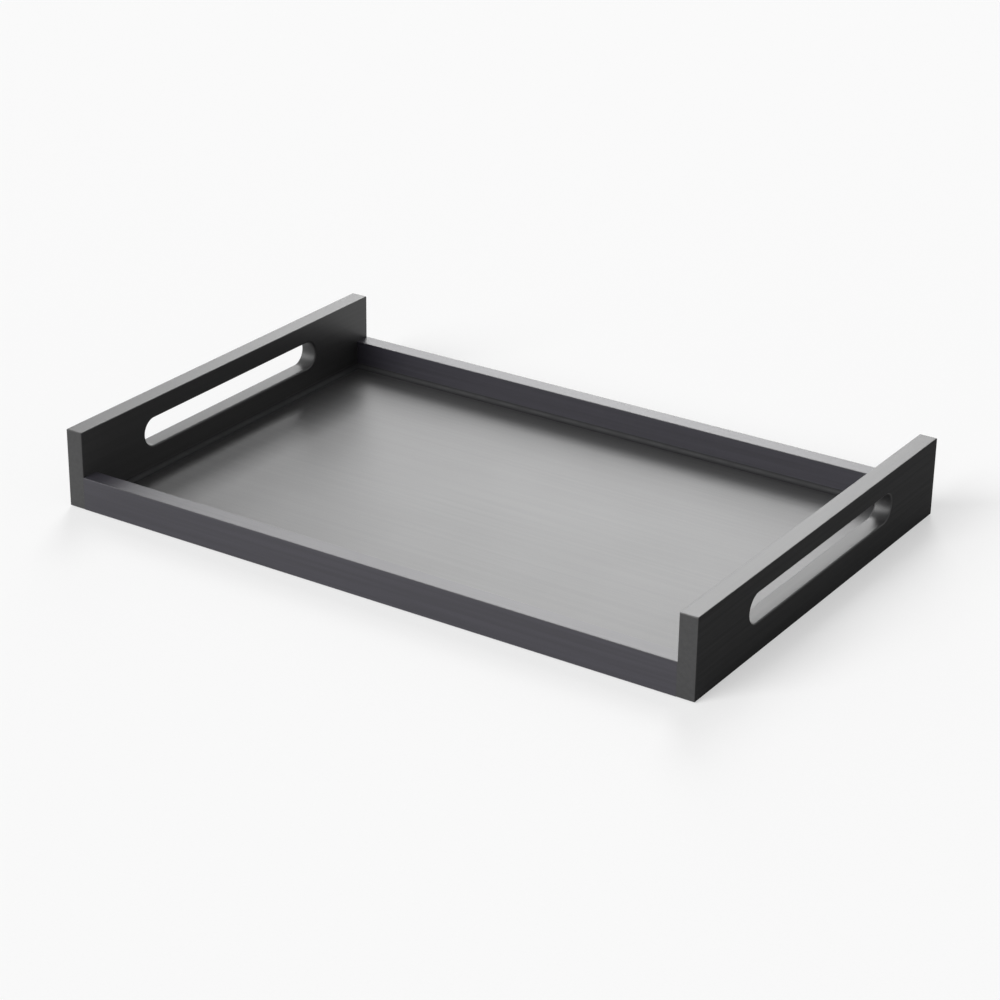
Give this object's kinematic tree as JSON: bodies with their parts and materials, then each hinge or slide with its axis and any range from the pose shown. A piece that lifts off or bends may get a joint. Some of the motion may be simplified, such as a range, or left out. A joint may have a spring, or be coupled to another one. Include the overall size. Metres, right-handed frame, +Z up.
{
  "type": "room service tray",
  "caption": "Low rectangular wooden tray with full-height end panels, round-ended hand slots, low long rails and a flat lacquered floor.",
  "frame": {"origin": "on the table, under the middle of the tray, level with the undersides of the pads", "axes": "+X along the tray from the left end panel to the right, +Y from the front rail to the rear rail, +Z up"},
  "size_m": [0.6, 0.4, 0.07],
  "materials": {
    "panel_lacquer": "satin black lacquer",
    "rail_lacquer": "satin black lacquer",
    "floor_lacquer": "satin black lacquer",
    "sealant": "black flexible sealant",
    "dowel_beech": "bare fluted beech",
    "screw_zinc": "zinc plated",
    "pad_rubber": "matt black rubber"
  },
  "bodies": {
    "root": {"left_end_panel": "panel_lacquer", "right_end_panel": "panel_lacquer", "front_rail": "rail_lacquer", "rear_rail": "rail_lacquer", "base_panel": "floor_lacquer", "floor_seal_bead": "sealant", "dowel_front_left_1": "dowel_beech", "dowel_front_left_2": "dowel_beech", "dowel_front_right_1": "dowel_beech", "dowel_front_right_2": "dowel_beech", "dowel_rear_left_1": "dowel_beech", "dowel_rear_left_2": "dowel_beech", "dowel_rear_right_1": "dowel_beech", "dowel_rear_right_2": "dowel_beech", "base_screw_front_1": "screw_zinc", "base_screw_front_2": "screw_zinc", "base_screw_front_3": "screw_zinc", "base_screw_front_4": "screw_zinc", "base_screw_rear_1": "screw_zinc", "base_screw_rear_2": "screw_zinc", "base_screw_rear_3": "screw_zinc", "base_screw_rear_4": "screw_zinc", "base_screw_left_1": "screw_zinc", "base_screw_left_2": "screw_zinc", "base_screw_right_1": "screw_zinc", "base_screw_right_2": "screw_zinc", "foot_pad_front_left": "pad_rubber", "foot_pad_front_right": "pad_rubber", "foot_pad_rear_left": "pad_rubber", "foot_pad_rear_right": "pad_rubber"}
  },
  "joints": []
}
